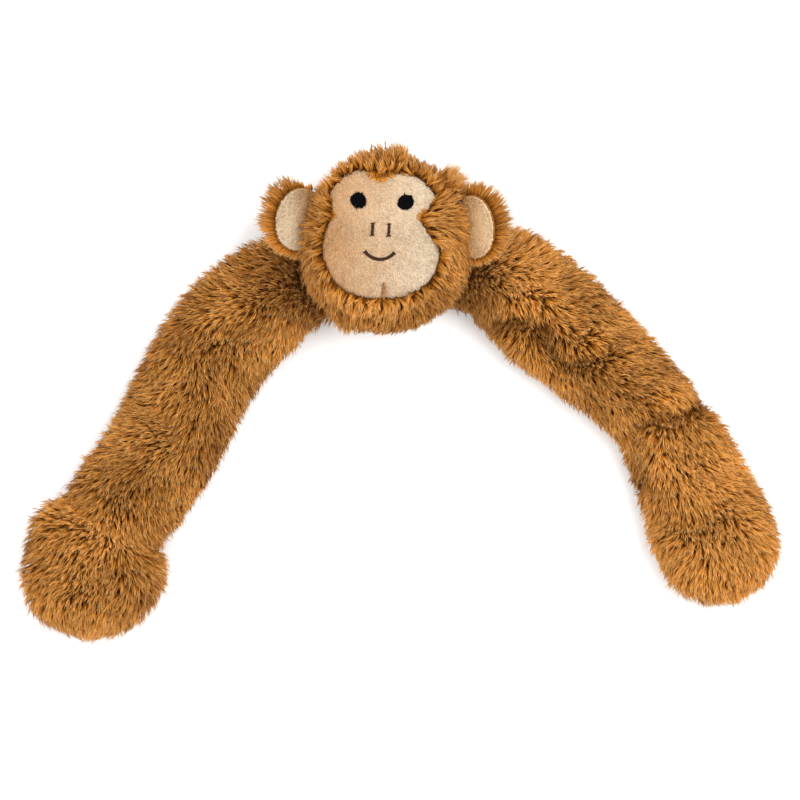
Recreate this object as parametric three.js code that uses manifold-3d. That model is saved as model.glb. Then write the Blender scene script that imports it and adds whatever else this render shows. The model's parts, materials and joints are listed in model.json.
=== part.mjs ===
// A plush monkey with a round head and two very long, limp arms. It lies on its back: +X runs
// across the span of the arms, +Y towards the crown, +Z out of the face. Sizes are millimetres.
//
// One sleeve runs behind the head from shoulder to shoulder (the yoke) and the head is sewn on
// its middle. Every stage of an arm is a front and a back fur panel around its own filling, and
// the stages turn on each other where the slack sleeve folds.

import * as THREE from 'three';
import { mergeVertices } from 'three/addons/utils/BufferGeometryUtils.js';
import Module from 'manifold-3d';

// ---------------------------------------------------------------- driving dimensions

const FUR_WALL = 6;             // fur fabric: backing and the pile pressed on it
const VELOUR_WALL = 3;          // short velour of the face, set this deep below the fur
const SEAM_GAP = 0.4;           // between two panels sewn edge to edge
const FIT_GAP = 0.3;            // between pieces that touch
const FOLD_GAP = 1;             // between two stages of an arm where the sleeve folds

const HEAD_WIDTH = 108;
const HEAD_HEIGHT = 120;
const HEAD_DEPTH = 92;
const HEAD_CLEARANCE = 3;       // back of the head above the ground
const HEAD_TILT = -2.5;         // degrees, towards the right arm

const MUZZLE_WIDTH = 82;
const MUZZLE_HEIGHT = 66;
const MUZZLE_DEPTH = 56;
const MUZZLE_DROP = 16;         // below the middle of the head
const MUZZLE_RISE = 4;          // in front of the head

const FACE_SHIFT = -3.5;        // the face sits a little to the left of the middle
const EYE_WIDTH = 10;
const EYE_SPACING = 30;
const EYE_HEIGHT = 25;          // above the middle of the head
const NOSTRIL_WIDTH = 2.4;
const NOSTRIL_LENGTH = 8.5;
const NOSTRIL_SPACING = 10.4;
const NOSTRIL_HEIGHT = 6.6;
const MOUTH_WIDTH = 18.6;
const MOUTH_SAG = 4.6;
const MOUTH_HEIGHT = -8;
const STITCH_WIDTH = 2.6;
const STITCH_THICKNESS = 0.8;

const EAR_HEIGHT = 46;
const EAR_REACH = 23;
const EAR_THICKNESS = 5;
const EAR_LINING = 2;
const EAR_HEM = 3.5;            // fur left round the lining
const EAR_BEARING = 11.5;       // degrees round the head, up from its side
const EAR_ROOT_SPREAD = 68;     // degrees of the ear's ellipse, each way from its middle
const EAR_ROOT_WIDTH = 0.86;    // of the ear's height, straight along the root
const EAR_HINGE_WIDTH = 0.7;    // of the ear's height, the round base it folds on
const EAR_LIFT = 4;             // in front of the side seam

const YOKE_SPAN = 150;          // from shoulder pivot to shoulder pivot
const YOKE_WIDTH = 52;
const YOKE_THICKNESS = 22;
const YOKE_DROP = 26;           // below the middle of the head
const YOKE_SHIFT = 1;
const YOKE_TILT = 2;            // degrees

const ARM_THICKNESS = 42;
const SHOULDER_WIDTH = 71;
const ELBOW_WIDTH = 68;
const WRIST_WIDTH = 74;
const PAW_WIDTH = 86;
const PAW_THICKNESS = 48;

const SHOULDER_LENGTH = 41;
const UPPER_ARM_LENGTH = 90;
const FOREARM_LENGTH = 86;
const PAW_LENGTH = 51;
const PAW_SWELL = 0.25;         // of the paw's length, where it is halfway to its full width
const PAW_ROUND = 0.58;         // of the paw's length, its rounded end
const PAW_ROUND_STEEPNESS = 80; // degrees that the round runs before it closes flat
const PAW_BLUNTNESS = 0.8;      // power of the round seen from above; lower is blunter
const PAW_FULLNESS = 0.55;      // the same, seen from the side

const FOLD_START = 20;          // degrees round a fold at which a stage's near end begins
const FOLD_NARROWING = 0.18;    // of a stage's width, lost at the far edge of its fold
const UNDERSIDE = 1.2;          // how much the lower half of a tube is pressed flat

// The lie of each arm, in degrees: the shoulder's direction, then each fold sideways from it.
const ARM_LIES = {
  left: { shoulder: -137, upper_arm: 19, forearm: -5, paw: 23 },
  right: { shoulder: -41.5, upper_arm: -0.5, forearm: -21, paw: -14 },
};

const ROUND_SIDES = 20;
const SECTION_SIDES = 16;       // a multiple of 4, so that a tube's top and sides are met
const FOLD_STEPS = 3;

// ---------------------------------------------------------------- solids

const wasm = await Module();
wasm.setup();

const radians = THREE.MathUtils.degToRad;

function toSolid(geometry) {
  const bare = geometry.clone();
  bare.deleteAttribute('normal');
  bare.deleteAttribute('uv');
  const merged = mergeVertices(bare, 1e-4);
  return new wasm.Manifold(new wasm.Mesh({
    numProp: 3,
    vertProperties: new Float32Array(merged.attributes.position.array),
    triVerts: new Uint32Array(merged.index.array),
  }));
}

function toGeometry(solid) {
  const mesh = solid.getMesh();
  const geometry = new THREE.BufferGeometry();
  const points = new Float32Array(mesh.vertProperties);
  geometry.setAttribute('position', new THREE.BufferAttribute(points, 3));
  geometry.setIndex(new THREE.BufferAttribute(new Uint32Array(mesh.triVerts), 1));
  return geometry;
}

function placed(geometry, matrix) {
  return toSolid(geometry.clone().applyMatrix4(matrix));
}

function frameAt(x, y, z, turn) {
  return new THREE.Matrix4().makeTranslation(x, y, z)
    .multiply(new THREE.Matrix4().makeRotationZ(radians(turn)));
}

// Everything above (side +1) or below (side -1) a level.
function halfSpace(level, side) {
  const size = 2000;
  return toSolid(new THREE.BoxGeometry(size, size, size).translate(0, 0, level + side * size / 2));
}

// One point of the cross-section that every sewn tube has: a full round top and a lower half
// flattened by lying on the ground. Both numbers run from -1 to 1.
function sectionPoint(angle) {
  const rise = Math.sin(angle);
  return [Math.cos(angle), rise < 0 ? Math.max(-1, UNDERSIDE * rise) : rise];
}

// A tube along +X through stations { x, halfWidth, low, high }, closed at both ends.
function loft(stations) {
  const points = [];
  const faces = [];
  for (const { x, halfWidth, low, high } of stations) {
    for (let i = 0; i < SECTION_SIDES; i++) {
      const [across, up] = sectionPoint(2 * Math.PI * i / SECTION_SIDES);
      points.push(x, halfWidth * across, (high + low) / 2 + up * (high - low) / 2);
    }
  }
  for (let s = 0; s + 1 < stations.length; s++) {
    for (let i = 0; i < SECTION_SIDES; i++) {
      const a = s * SECTION_SIDES + i;
      const b = s * SECTION_SIDES + (i + 1) % SECTION_SIDES;
      faces.push(a, b, b + SECTION_SIDES, a, b + SECTION_SIDES, a + SECTION_SIDES);
    }
  }
  const last = (stations.length - 1) * SECTION_SIDES;
  for (let i = 1; i + 1 < SECTION_SIDES; i++) {
    faces.push(0, i + 1, i);
    faces.push(last, last + i, last + i + 1);
  }
  const geometry = new THREE.BufferGeometry();
  geometry.setAttribute('position', new THREE.Float32BufferAttribute(points, 3));
  geometry.setIndex(faces);
  return geometry;
}

// The same cross-section turned about Z: the round of a shoulder.
function bun(radius, low, high) {
  const steps = SECTION_SIDES / 2;
  const profile = [];
  for (let i = 0; i <= steps; i++) {
    const [across, up] = sectionPoint(Math.PI * (i / steps - 0.5));
    const onAxis = i === 0 || i === steps;
    const level = (high + low) / 2 + up * (high - low) / 2;
    profile.push(new THREE.Vector2(onAxis ? 0 : radius * across, level));
  }
  return new THREE.LatheGeometry(profile, ROUND_SIDES).rotateX(Math.PI / 2);
}

function ellipsoid(width, height, depth) {
  return new THREE.SphereGeometry(1, ROUND_SIDES, ROUND_SIDES / 2 + 2)
    .scale(width / 2, height / 2, depth / 2);
}

// ---------------------------------------------------------------- fabrics and fillings

function cloth(color, roughness) {
  return new THREE.MeshStandardMaterial({ color, roughness, metalness: 0 });
}

const FUR = cloth(0xb97a35, 0.9);
const VELOUR = cloth(0xebc69a, 0.85);
const FILLING = cloth(0xf2efe6, 1);
const EYE_THREAD = cloth(0x101014, 0.45);
const FACE_THREAD = cloth(0x3a2016, 0.5);

function piece(name, solid, material) {
  const mesh = new THREE.Mesh(toGeometry(solid), material);
  mesh.name = name;
  return mesh;
}

// Two half-shells that meet in a seam at one level, and the filling they hold. solidAt(inset)
// gives the outer form taken in by that much all round.
function stuffedPieces(name, solidAt, seamLevel) {
  const skin = solidAt(0).subtract(solidAt(FUR_WALL));
  const front = skin.intersect(halfSpace(seamLevel + SEAM_GAP / 2, 1));
  const back = skin.intersect(halfSpace(seamLevel - SEAM_GAP / 2, -1));
  const group = new THREE.Group();
  group.add(piece(`${name}_front_panel`, front, FUR));
  group.add(piece(`${name}_back_panel`, back, FUR));
  group.add(piece(`${name}_filling`, solidAt(FUR_WALL + FIT_GAP), FILLING));
  return group;
}

// ---------------------------------------------------------------- arms

const FOLD_RADIUS = ARM_THICKNESS / 2;

// What the next stage needs kept free in this one: all that lies beyond its rounded end.
function beyondFold(length, bend, inset) {
  const size = 2000;
  const box = new THREE.BoxGeometry(size, size, size)
    .translate(size / 2 - FOLD_RADIUS - FOLD_GAP - inset, 0, 0);
  return placed(box, frameAt(length, 0, 0, bend));
}

// The rounded near end of a stage, a half cylinder about the fold's axis.
function foldEnd(width, inset) {
  const radius = FOLD_RADIUS - inset;
  const stations = [];
  for (let i = 0; i < FOLD_STEPS; i++) {
    const angle = radians(FOLD_START + (90 - FOLD_START) * i / FOLD_STEPS);
    const rise = radius * Math.sin(angle);
    stations.push({
      x: -radius * Math.cos(angle),
      halfWidth: (width / 2 - inset) * (1 - FOLD_NARROWING * (1 - Math.sin(angle))),
      low: FOLD_RADIUS - rise,
      high: FOLD_RADIUS + rise,
    });
  }
  return stations;
}

function armStation(x, width, thickness, inset) {
  return { x, halfWidth: width / 2 - inset, low: inset, high: thickness - inset };
}

// A straight stage between two folds.
function stageSolid(nearWidth, farWidth, length, bend, inset) {
  const stations = foldEnd(nearWidth, inset);
  stations.push(armStation(0, nearWidth, ARM_THICKNESS, inset));
  stations.push(armStation(length, farWidth, ARM_THICKNESS, inset));
  return toSolid(loft(stations)).subtract(beyondFold(length, bend, inset));
}

function shoulderSolid(bend, inset) {
  const round = toSolid(bun(SHOULDER_WIDTH / 2 - inset, inset, ARM_THICKNESS - inset));
  const straight = toSolid(loft([
    armStation(0, SHOULDER_WIDTH, ARM_THICKNESS, inset),
    armStation(SHOULDER_LENGTH, SHOULDER_WIDTH, ARM_THICKNESS, inset),
  ]));
  return round.add(straight).subtract(beyondFold(SHOULDER_LENGTH, bend, inset));
}

// The paw swells past the wrist and ends in a round without fingers.
function pawSolid(inset) {
  const stations = foldEnd(WRIST_WIDTH, inset);
  stations.push(armStation(0, WRIST_WIDTH, ARM_THICKNESS, inset));
  const halfwayWidth = (WRIST_WIDTH + PAW_WIDTH) / 2;
  const halfwayThickness = (ARM_THICKNESS + PAW_THICKNESS) / 2;
  stations.push(armStation(PAW_LENGTH * PAW_SWELL, halfwayWidth, halfwayThickness, inset));
  const round = PAW_LENGTH * PAW_ROUND;
  const half = PAW_THICKNESS / 2;
  const centre = PAW_LENGTH - round;
  for (let i = 0; i <= FOLD_STEPS; i++) {
    const angle = radians(PAW_ROUND_STEEPNESS * i / FOLD_STEPS);
    const share = Math.cos(angle);
    stations.push({
      x: centre + (round - inset) * Math.sin(angle),
      halfWidth: (PAW_WIDTH / 2 - inset) * share ** PAW_BLUNTNESS,
      low: half - (half - inset) * share ** PAW_FULLNESS,
      high: half + (half - inset) * share ** PAW_FULLNESS,
    });
  }
  return toSolid(loft(stations));
}

function nested(parts, x, turn) {
  parts.position.set(x, 0, 0);
  parts.rotation.z = radians(turn);
  return parts;
}

function arm(side) {
  const lie = ARM_LIES[side];
  const seam = ARM_THICKNESS / 2;
  const shoulder = stuffedPieces(
    `shoulder_${side}`,
    inset => shoulderSolid(lie.upper_arm, inset),
    seam,
  );
  const upper = stuffedPieces(
    `upper_arm_${side}`,
    inset => stageSolid(SHOULDER_WIDTH, ELBOW_WIDTH, UPPER_ARM_LENGTH, lie.forearm, inset),
    seam,
  );
  const fore = stuffedPieces(
    `forearm_${side}`,
    inset => stageSolid(ELBOW_WIDTH, WRIST_WIDTH, FOREARM_LENGTH, lie.paw, inset),
    seam,
  );
  const paw = stuffedPieces(`paw_${side}`, pawSolid, seam);
  shoulder.add(nested(upper, SHOULDER_LENGTH, lie.upper_arm));
  upper.add(nested(fore, UPPER_ARM_LENGTH, lie.forearm));
  fore.add(nested(paw, FOREARM_LENGTH, lie.paw));
  shoulder.rotation.z = radians(lie.shoulder);
  return shoulder;
}

// ---------------------------------------------------------------- yoke

const SIDES = { left: -1, right: 1 };

// The sleeve's middle, pressed flat under the head, hollowed at both ends for the shoulders.
function yokeSolid(inset) {
  const reach = YOKE_SPAN / 2 - SHOULDER_WIDTH / 2 + FUR_WALL;
  let solid = toSolid(loft([-reach, reach].map(x => ({
    x,
    halfWidth: YOKE_WIDTH / 2 - inset,
    low: inset,
    high: YOKE_THICKNESS - inset,
  }))));
  for (const sign of Object.values(SIDES)) {
    solid = solid.subtract(placed(shoulderRoom(inset), frameAt(sign * YOKE_SPAN / 2, 0, 0, 0)));
  }
  return solid;
}

// The space that a swinging shoulder sweeps, grown by an inset.
function shoulderRoom(inset) {
  const grow = FOLD_GAP + inset;
  return bun(SHOULDER_WIDTH / 2 + grow, -grow, ARM_THICKNESS + grow);
}

// ---------------------------------------------------------------- head

const HEAD_LEVEL = HEAD_CLEARANCE + HEAD_DEPTH / 2;

// From the head's own frame to the yoke's: the yoke lies across the back of the head.
function yokeInHead() {
  return new THREE.Matrix4().makeRotationZ(radians(-HEAD_TILT))
    .multiply(frameAt(YOKE_SHIFT, -YOKE_DROP, -HEAD_LEVEL, YOKE_TILT));
}

function headForm(inset) {
  const [skull, muzzle] = [
    [HEAD_WIDTH, HEAD_HEIGHT, HEAD_DEPTH],
    [MUZZLE_WIDTH, MUZZLE_HEIGHT, MUZZLE_DEPTH],
  ].map(sizes => ellipsoid(...sizes.map(size => size - 2 * inset)));
  muzzle.translate(FACE_SHIFT, -MUZZLE_DROP, HEAD_DEPTH / 2 + MUZZLE_RISE - MUZZLE_DEPTH / 2);
  return toSolid(skull).add(toSolid(muzzle));
}

// The head's form with the yoke and the shoulders' room taken out of its back.
function headSolid(inset) {
  const grow = FIT_GAP + inset;
  const seat = loft([-YOKE_SPAN / 2, YOKE_SPAN / 2].map(x => ({
    x,
    halfWidth: YOKE_WIDTH / 2 + grow,
    low: -grow,
    high: YOKE_THICKNESS + grow,
  })));
  let solid = headForm(inset).subtract(placed(seat, yokeInHead()));
  for (const sign of Object.values(SIDES)) {
    const place = yokeInHead().multiply(frameAt(sign * YOKE_SPAN / 2, 0, 0, 0));
    solid = solid.subtract(placed(shoulderRoom(inset), place));
  }
  return solid;
}

// Half of the face's outline, from the point between the brows down to the chin.
const FACE_HALF = [
  [0, 40], [7, 44], [16, 46.5], [27, 41.5], [33.5, 32], [32, 23], [27.5, 16.5],
  [31, 9], [37, -4], [35, -18], [25, -31], [12, -36], [0, -37],
];

function faceOutline(grow) {
  const mirrored = FACE_HALF.slice(1, -1).reverse().map(([x, y]) => [-x, y]);
  const points = [...FACE_HALF, ...mirrored].map(([x, y]) => {
    const point = new THREE.Vector2(x, y);
    return point.setLength(point.length() + grow);
  });
  const shape = new THREE.Shape();
  shape.setFromPoints(points.map(point => point.add(new THREE.Vector2(FACE_SHIFT, 0))));
  return shape;
}

function prism(shape) {
  const geometry = new THREE.ExtrudeGeometry(shape, { depth: HEAD_DEPTH, bevelEnabled: false });
  return toSolid(geometry);
}

// Thread lies on the velour: a thin layer of the outline given.
function stitched(name, shape, material) {
  const inner = VELOUR_WALL - FIT_GAP;
  const layer = headForm(inner - STITCH_THICKNESS).subtract(headForm(inner));
  return piece(name, layer.intersect(prism(shape)), material);
}

function eyeShape(sign) {
  const shape = new THREE.Shape();
  shape.absarc(FACE_SHIFT + sign * EYE_SPACING / 2, EYE_HEIGHT, EYE_WIDTH / 2, 0, 2 * Math.PI);
  return new THREE.Shape(shape.getPoints(4));
}

function nostrilShape(sign) {
  const x = FACE_SHIFT + sign * NOSTRIL_SPACING / 2;
  const half = NOSTRIL_WIDTH / 2;
  return new THREE.Shape([
    new THREE.Vector2(x - half, NOSTRIL_HEIGHT - NOSTRIL_LENGTH / 2),
    new THREE.Vector2(x + half, NOSTRIL_HEIGHT - NOSTRIL_LENGTH / 2),
    new THREE.Vector2(x + half, NOSTRIL_HEIGHT + NOSTRIL_LENGTH / 2),
    new THREE.Vector2(x - half, NOSTRIL_HEIGHT + NOSTRIL_LENGTH / 2),
  ]);
}

// A smile: one arc through both corners and the sag between them.
function mouthShape() {
  const radius = (MOUTH_WIDTH ** 2 / 4 + MOUTH_SAG ** 2) / (2 * MOUTH_SAG);
  const spread = Math.asin(MOUTH_WIDTH / 2 / radius);
  const centre = MOUTH_HEIGHT - MOUTH_SAG + radius;
  const steps = 6;
  const row = (offset, order) => Array.from({ length: steps + 1 }, (_, i) => {
    const angle = -Math.PI / 2 + spread * (2 * i / steps - 1) * order;
    const reach = radius + offset;
    return new THREE.Vector2(FACE_SHIFT + reach * Math.cos(angle), centre + reach * Math.sin(angle));
  });
  return new THREE.Shape([...row(STITCH_WIDTH / 2, 1), ...row(-STITCH_WIDTH / 2, -1)]);
}

// An ear folds on a round base along its root; its lining looks forwards.
function ear(side) {
  const sign = SIDES[side];
  const bearing = radians(EAR_BEARING);
  const rootRadius = (EAR_THICKNESS + EAR_LINING) / 2;
  const [cos, sin] = [Math.cos(bearing), Math.sin(bearing)];
  const normal = new THREE.Vector2(cos / HEAD_WIDTH, sin / HEAD_HEIGHT).normalize();
  const rim = new THREE.Vector2(HEAD_WIDTH / 2 * cos, HEAD_HEIGHT / 2 * sin);
  const hinge = rim.addScaledVector(normal, rootRadius + FOLD_GAP);
  const base = new THREE.CylinderGeometry(rootRadius, rootRadius, EAR_HEIGHT * EAR_HINGE_WIDTH, 12);

  const back = toSolid(earForm(0, -rootRadius, EAR_THICKNESS)).add(toSolid(base));
  const liningLevel = -rootRadius + EAR_THICKNESS;
  const cutter = toSolid(earForm(0, liningLevel, EAR_THICKNESS));
  const lining = toSolid(earForm(EAR_HEM, liningLevel + FIT_GAP, EAR_LINING));

  const group = new THREE.Group();
  group.add(piece(`ear_${side}_back`, back.subtract(cutter), FUR));
  group.add(piece(`ear_${side}_lining`, lining, VELOUR));
  group.position.set(sign * hinge.x, hinge.y, EAR_LIFT);
  const lean = Math.atan2(normal.y, normal.x);
  group.rotation.z = sign > 0 ? lean : Math.PI - lean;
  return group;
}

// A D-shaped flap: straight along its root, most of half an ellipse outwards.
function earForm(inset, level, thickness) {
  const half = EAR_HEIGHT / 2 - inset;
  const spread = radians(EAR_ROOT_SPREAD);
  const rim = new THREE.EllipseCurve(0, 0, EAR_REACH - inset, half, -spread, spread);
  const root = new THREE.Vector2(0, half * EAR_ROOT_WIDTH);
  const outline = new THREE.Shape([root.clone().setY(-root.y), ...rim.getPoints(12), root]);
  return new THREE.ExtrudeGeometry(outline, { depth: thickness, bevelEnabled: false })
    .translate(0, 0, level);
}

function head() {
  const group = new THREE.Group();
  const fur = headSolid(0).subtract(headSolid(FUR_WALL));
  const velour = headSolid(VELOUR_WALL).subtract(headSolid(FUR_WALL));
  const front = fur.intersect(halfSpace(SEAM_GAP / 2, 1)).subtract(prism(faceOutline(FIT_GAP)));
  group.add(piece('head_front_cover', front, FUR));
  group.add(piece('head_back_cover', fur.intersect(halfSpace(-SEAM_GAP / 2, -1)), FUR));
  group.add(piece('face_patch', velour.intersect(prism(faceOutline(0))), VELOUR));
  group.add(piece('head_filling', headSolid(FUR_WALL + FIT_GAP), FILLING));
  for (const [side, sign] of Object.entries(SIDES)) {
    group.add(stitched(`eye_${side}`, eyeShape(sign), EYE_THREAD));
    group.add(stitched(`nostril_${side}`, nostrilShape(sign), FACE_THREAD));
    group.add(ear(side));
  }
  group.add(stitched('mouth', mouthShape(), FACE_THREAD));
  return group;
}

// ---------------------------------------------------------------- assembly

const monkey = new THREE.Group();

const headGroup = head();
headGroup.position.set(0, 0, HEAD_LEVEL);
headGroup.rotation.z = radians(HEAD_TILT);
monkey.add(headGroup);

const yoke = stuffedPieces('yoke', yokeSolid, YOKE_THICKNESS / 2);
yoke.position.set(YOKE_SHIFT, -YOKE_DROP, 0);
yoke.rotation.z = radians(YOKE_TILT);
monkey.add(yoke);

for (const [side, sign] of Object.entries(SIDES)) {
  const limb = arm(side);
  limb.position.set(sign * YOKE_SPAN / 2, 0, 0);
  limb.rotation.z -= radians(YOKE_TILT);
  yoke.add(limb);
}

// The origin is the middle of the span, on the ground.
const extent = new THREE.Box3().setFromObject(monkey, true);
const middle = extent.getCenter(new THREE.Vector3());
monkey.position.set(-middle.x, -middle.y, -extent.min.z);

const model = new THREE.Group();
model.add(monkey);

export default model;
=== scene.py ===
import json
import math

import bpy
import numpy as np
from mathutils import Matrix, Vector


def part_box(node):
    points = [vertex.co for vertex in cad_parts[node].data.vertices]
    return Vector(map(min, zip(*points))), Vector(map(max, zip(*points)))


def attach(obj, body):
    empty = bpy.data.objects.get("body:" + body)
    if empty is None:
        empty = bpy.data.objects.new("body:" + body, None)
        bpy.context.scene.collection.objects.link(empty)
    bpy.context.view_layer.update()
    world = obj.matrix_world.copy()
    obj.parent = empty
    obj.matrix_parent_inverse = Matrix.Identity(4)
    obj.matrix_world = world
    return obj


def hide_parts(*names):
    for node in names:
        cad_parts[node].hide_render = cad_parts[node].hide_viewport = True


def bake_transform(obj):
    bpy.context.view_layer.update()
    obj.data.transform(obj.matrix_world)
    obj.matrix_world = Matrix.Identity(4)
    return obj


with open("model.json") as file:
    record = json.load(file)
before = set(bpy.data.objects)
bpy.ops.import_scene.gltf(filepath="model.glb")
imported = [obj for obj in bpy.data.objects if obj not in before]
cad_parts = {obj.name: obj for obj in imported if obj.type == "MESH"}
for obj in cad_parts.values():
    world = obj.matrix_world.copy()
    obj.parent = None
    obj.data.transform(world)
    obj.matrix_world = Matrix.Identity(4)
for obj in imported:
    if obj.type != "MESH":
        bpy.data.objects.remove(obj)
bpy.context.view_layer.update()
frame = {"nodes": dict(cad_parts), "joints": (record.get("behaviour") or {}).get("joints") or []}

scene = bpy.context.scene
MM = 0.001

# ---------------------------------------------------------------- studio
# A pale table seen from straight above through a long lens, with a broad soft lamp on the
# right, a weaker one on the left and an even pale surrounding.

CAMERA_HEIGHT = 2.5
CAMERA_PLACE = (-1.0 * MM, -2.0 * MM, CAMERA_HEIGHT)
VIEW_WIDTH = 520 * MM
VIEW_LEVEL = 45 * MM
SENSOR = 36

camera = bpy.data.objects.new("camera", bpy.data.cameras.new("camera"))
scene.collection.objects.link(camera)
camera.data.sensor_width = SENSOR
camera.data.lens = SENSOR * (CAMERA_HEIGHT - VIEW_LEVEL) / VIEW_WIDTH
camera.data.clip_end = 20
camera.location = CAMERA_PLACE
scene.camera = camera


def lamp(name, place, size, power):
    """A square lamp that faces the middle of the table."""
    light = bpy.data.objects.new(name, bpy.data.lights.new(name, "AREA"))
    light.data.size = size
    light.data.energy = power
    light.location = place
    light.rotation_euler = (-Vector(place)).to_track_quat("-Z", "Y").to_euler()
    scene.collection.objects.link(light)


lamp("key_lamp", (0.9, 0.35, 2.15), 1.4, 29)
lamp("fill_lamp", (-1.2, 0.1, 1.9), 1.6, 9)

world = bpy.data.worlds.new("studio")
world.use_nodes = True
surrounding = world.node_tree.nodes["Background"]
surrounding.inputs["Color"].default_value = (1, 1, 1, 1)
surrounding.inputs["Strength"].default_value = 1.3
scene.world = world
scene.view_settings.view_transform = "Standard"


class Value:
    """One output of a finish's nodes: sums on it add Math nodes."""

    def __init__(self, finish, socket):
        self.finish = finish
        self.socket = socket

    def _math(self, operation, first, second):
        return self.finish.node("ShaderNodeMath", {"operation": operation}, {0: first, 1: second})

    def __add__(self, other):
        return self._math("ADD", self, other)

    def __mul__(self, other):
        return self._math("MULTIPLY", self, other)

    def __rsub__(self, other):
        return self._math("SUBTRACT", other, self)

    def __sub__(self, other):
        return self._math("SUBTRACT", self, other)

    __radd__ = __add__
    __rmul__ = __mul__


class Finish:
    """A material of one Principled shader, wired node by node."""

    def __init__(self, name, roughness, sheen=0.0, specular=0.3):
        self.material = bpy.data.materials.new(name)
        self.material.use_nodes = True
        self.nodes = self.material.node_tree.nodes
        self.shader = self.nodes["Principled BSDF"]
        self.set("Roughness", roughness)
        self.set("Sheen Weight", sheen)
        self.set("Sheen Roughness", 0.4)
        self.set("Specular IOR Level", specular)

    def set(self, name, value):
        self._feed(self.shader.inputs[name], value)

    def _feed(self, socket, value):
        if isinstance(value, Value):
            self.material.node_tree.links.new(value.socket, socket)
        else:
            socket.default_value = value

    def node(self, kind, settings=None, inputs=None, output=0):
        made = self.nodes.new(kind)
        for name, value in (settings or {}).items():
            if name == "stops":
                ramp = made.color_ramp.elements
                while len(ramp) < len(value):
                    ramp.new(0.5)
                for stop, (place, color) in zip(ramp, value):
                    stop.position = place
                    stop.color = (*color, 1)
            else:
                setattr(made, name, value)
        for name, value in (inputs or {}).items():
            open_sockets = [s for s in made.inputs if s.enabled]
            named = [s for s in open_sockets if s.name == name]
            self._feed(open_sockets[name] if isinstance(name, int) else named[0], value)
        outputs = [s for s in made.outputs if s.enabled]
        return Value(self, outputs[output])

    def mix(self, share, first, second, blend="MIX"):
        settings = {"data_type": "RGBA", "blend_type": blend}
        return self.node("ShaderNodeMix", settings, {"Factor": share, "A": first, "B": second})

    def noise(self, scale, detail=2.0, stretch=(1, 1, 1)):
        place = self.node("ShaderNodeTexCoord", output=3)
        scaled = self.node("ShaderNodeMapping", {}, {"Vector": place, "Scale": stretch})
        return self.node("ShaderNodeTexNoise", {}, {"Vector": scaled, "Scale": scale, "Detail": detail})

    def bump(self, height, depth, strength=0.6):
        inputs = {"Height": height, "Distance": depth, "Strength": strength}
        self.set("Normal", self.node("ShaderNodeBump", {}, inputs))


table = Finish("table_top", 0.7)
table.set("Base Color", table.mix(table.noise(30), (0.90, 0.90, 0.90, 1), (0.94, 0.94, 0.94, 1)))
bpy.ops.mesh.primitive_plane_add(size=8)
floor = bpy.context.object
floor.name = "table_top"
floor.data.materials.append(table.material)

# ---------------------------------------------------------------- sleeves
# One sleeve of long-pile fur fabric, loosely stuffed, runs from paw to paw behind the head. It
# is a front and a back panel sewn along both edges, and lies in soft lumps with creases where
# it folds. Here it is the stuffed sleeve itself; the pile comes next.

SKIN_DEPTH = 7.0 * MM
EDGE_DEPTH = {"left": 5.5 * MM, "right": 7.5 * MM}
UNDER_DEPTH = 3.0 * MM
UP = np.array([0.0, 0.0, 1.0])
joints = {joint["name"]: joint for joint in frame["joints"]}


def cad_points(node):
    mesh = frame["nodes"][node].data
    points = np.empty(len(mesh.vertices) * 3, np.float32)
    mesh.vertices.foreach_get("co", points)
    return points.reshape(-1, 3).astype(float)


def pivot(name):
    return np.array(joints[name]["pos_m"])


def outward(name):
    """The way the stage beyond a fold lies."""
    return np.cross(UP, np.array(joints[name]["axis"]))


def unit(vectors):
    length = np.linalg.norm(vectors, axis=-1, keepdims=True)
    return vectors / np.maximum(length, 1e-12)


def drift(points, wavelength, seed, octaves=2):
    """A value that wanders smoothly between about -1 and 1 over the points."""
    rng = np.random.default_rng(seed)
    total = np.zeros(points.shape[:-1])
    for octave in range(octaves):
        for _ in range(5):
            way = unit(rng.normal(size=3)) * 2 * math.pi / wavelength * 1.9 ** octave
            total += np.sin(points @ way + rng.uniform(0, 2 * math.pi)) * 0.6 ** octave
    return total / 3.0


def smooth(value, low, high):
    share = np.clip((value - low) / (high - low), 0, 1)
    return share * share * (3 - 2 * share)


# How far the slack fabric has slid off its pivots and its tip, and how much wider than sewn it
# lies at the middle, the shoulder, each fold and the paw, in millimetres.
SAGS = {
    "left": [(1.5, -2), (1.2, -0.5), (-2, 0.5), (1.8, 0.5), (7.5, 1)],
    "right": [(1, 2), (1.5, 2.5), (0.8, 1), (1, 1), (5.5, 2.5)],
}
SPREADS = {
    "left": [4, -1, 1.5, 1.5, -0.5, 3.5],
    "right": [0, -0.5, 4, -3, 6.5, -2],
}

# Where a paw begins to swell and where it is full, from the wrist; the share of its length at
# which it starts to close; and the slight neck before it.
PAW_STARTS = {"left": -28 * MM, "right": -22 * MM}
PAW_FULL = {"left": -12 * MM, "right": 8 * MM}
PAW_ROUNDING = {"left": 0.12, "right": 0.30}
PAW_NECK = 1.5 * MM
PAW_NECK_REACH = 14 * MM

# The underside is pressed this much flatter than a round, and the filling lies in lumps: the
# distance between them, a seed, and their height in millimetres.
UNDER_PRESS = 1.25
LUMPS = [(70 * MM, 11, 1.5), (26 * MM, 12, 0.7)]

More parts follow.
